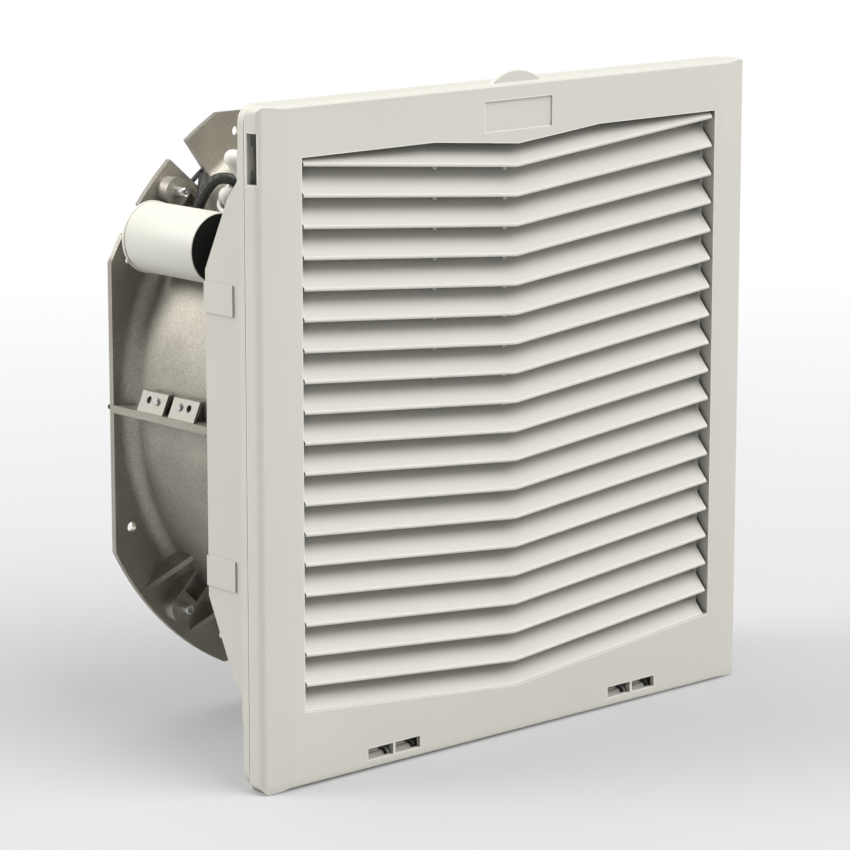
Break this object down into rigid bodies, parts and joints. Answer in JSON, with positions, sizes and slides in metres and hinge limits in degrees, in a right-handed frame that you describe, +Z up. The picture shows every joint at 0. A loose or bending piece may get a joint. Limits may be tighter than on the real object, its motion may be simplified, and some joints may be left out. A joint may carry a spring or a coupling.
{
  "type": "enclosure filter fan",
  "caption": "Square filter fan for a panel cut-out: hinged louvred cover, filter mat, stepped mounting hood and a flanged axial fan with guard, capacitor and leads.",
  "frame": {"origin": "centre of the panel cut-out, in the plane of the flange back face", "axes": "+Y back through the panel to the fan, -Y out of the louvred front, +Z up"},
  "size_m": [0.323, 0.1481, 0.3282],
  "materials": {
    "frame_plastic": "satin moulded ABS",
    "grid_plastic": "satin moulded ABS",
    "cover_plastic": "fine textured satin ABS",
    "gasket_foam": "closed cell foam skin",
    "mat_fibre": "bonded polyester fibre",
    "white_nylon": "moulded nylon",
    "cast_aluminium": "mottled die cast",
    "saddle_steel": "dull zinc",
    "zinc_steel": "bright zinc",
    "guard_steel": "black satin coat",
    "motor_alloy": "die cast, machined face",
    "core_steel": "laminated edge",
    "copper_wire": "enamelled copper wire",
    "bearing_steel": "ground",
    "rotor_paint": "black satin paint",
    "blade_paint": "black satin paint",
    "can_white": "smooth moulded case",
    "seal_black": "cast resin",
    "sleeve_black": "glass fibre sleeve",
    "earth_brass": "plain brass"
  },
  "bodies": {
    "base": {"mounting_frame": "frame_plastic", "panel_gasket": "gasket_foam", "mat_grid": "grid_plastic", "filter_mat": "mat_fibre", "hinge_clips": "white_nylon", "latch_pins": "zinc_steel", "fan_housing": "cast_aluminium", "housing_screws": "zinc_steel", "cable_saddles": "saddle_steel", "saddle_rivets": "zinc_steel", "rear_guard": "guard_steel", "guard_screws": "zinc_steel", "motor_flange": "motor_alloy", "motor_screws": "zinc_steel", "stator_core": "core_steel", "stator_winding": "copper_wire", "bearing_front": "bearing_steel", "bearing_rear": "bearing_steel", "capacitor_can": "can_white", "capacitor_seal": "seal_black", "capacitor_washer": "white_nylon", "capacitor_bracket": "zinc_steel", "capacitor_nut": "zinc_steel", "bracket_screw": "zinc_steel", "lead_cup": "white_nylon", "motor_lead": "sleeve_black", "capacitor_leads": "sleeve_black", "splice_caps": "white_nylon", "earth_screw": "earth_brass"},
    "cover": {"grille_cover": "cover_plastic", "hinge_pins": "zinc_steel"},
    "rotor": {"rotor_shaft": "bearing_steel", "rotor_cup": "rotor_paint", "rotor_cage": "core_steel", "impeller": "blade_paint"},
    "latch_lt": {"latch_left_top": "frame_plastic"},
    "latch_lb": {"latch_left_bottom": "frame_plastic"},
    "latch_rt": {"latch_right_top": "frame_plastic"},
    "latch_rb": {"latch_right_bottom": "frame_plastic"}
  },
  "joints": [
    {"name": "cover_hinge", "type": "hinge", "parent": "base", "child": "cover", "pos_m": [0, -0.0082, -0.1579], "axis": [1, 0, 0], "range_deg": [0, 85]},
    {"name": "impeller_spin", "type": "hinge", "parent": "base", "child": "rotor", "pos_m": [0, 0.089, 0], "axis": [0, 1, 0], "continuous": true},
    {"name": "latch_left_top_turn", "type": "hinge", "parent": "base", "child": "latch_lt", "pos_m": [-0.14275, 0.0184, 0.122], "axis": [0, 0, 1], "range_deg": [0, 9.5], "stiffness_Nm_per_rad": 0.6},
    {"name": "latch_left_bottom_turn", "type": "hinge", "parent": "base", "child": "latch_lb", "pos_m": [-0.14275, 0.0184, -0.122], "axis": [0, 0, 1], "range_deg": [0, 9.5], "stiffness_Nm_per_rad": 0.6},
    {"name": "latch_right_top_turn", "type": "hinge", "parent": "base", "child": "latch_rt", "pos_m": [0.14275, 0.0184, 0.122], "axis": [0, 0, -1], "range_deg": [0, 9.5], "stiffness_Nm_per_rad": 0.6},
    {"name": "latch_right_bottom_turn", "type": "hinge", "parent": "base", "child": "latch_rb", "pos_m": [0.14275, 0.0184, -0.122], "axis": [0, 0, -1], "range_deg": [0, 9.5], "stiffness_Nm_per_rad": 0.6}
  ]
}
